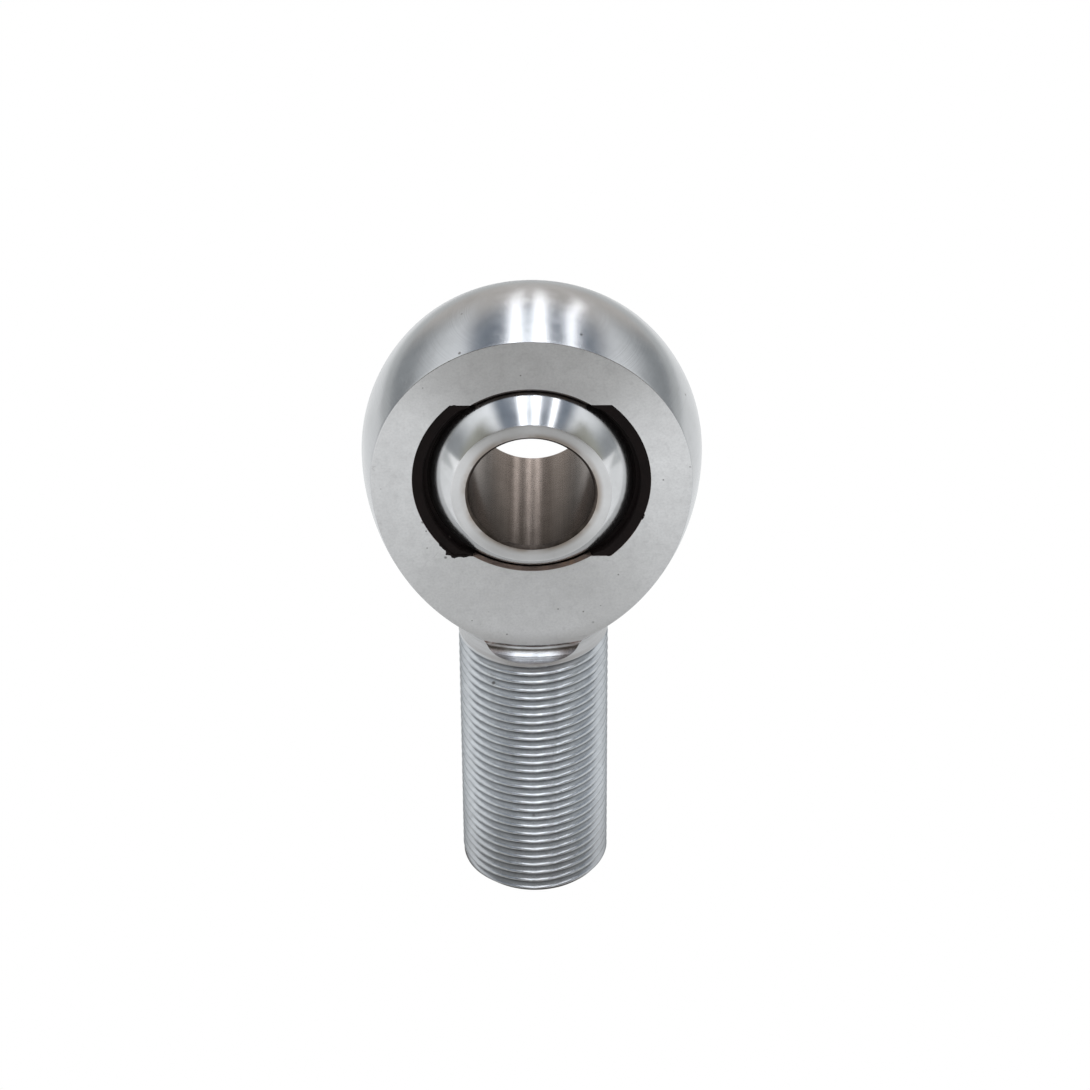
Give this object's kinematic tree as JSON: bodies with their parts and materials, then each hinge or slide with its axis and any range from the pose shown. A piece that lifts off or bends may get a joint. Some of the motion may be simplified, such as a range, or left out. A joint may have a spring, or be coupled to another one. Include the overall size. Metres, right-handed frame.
{
  "type": "rod end bearing",
  "caption": "Male rod end bearing: a bored chrome ball swivels in a black moulded race inside a flat-sided steel head with a right-hand threaded shank.",
  "frame": {"origin": "centre of the ball, on the bore's axis", "axes": "+Y along the bore, away from the face with the loader slots; +Z along the shank's axis, from the threaded end towards the head; +X across the head"},
  "size_m": [0.0698, 0.035, 0.1397],
  "materials": {
    "zinc_steel": "satin, bright zinc plated, turned",
    "black_moulding": "matte, as moulded",
    "ball_chrome": "hard chrome, ground and polished, with a plain satin bore"
  },
  "bodies": {
    "rod_end": {"rod_end_body": "zinc_steel", "molded_race": "black_moulding"},
    "swivel_ball": {"ball": "ball_chrome"}
  },
  "joints": [
    {"name": "ball_tilt", "type": "hinge", "parent": "rod_end", "child": "swivel_ball", "pos_m": [0, 0, 0], "axis": [1, 0, 0], "range_deg": [-14, 14]}
  ]
}
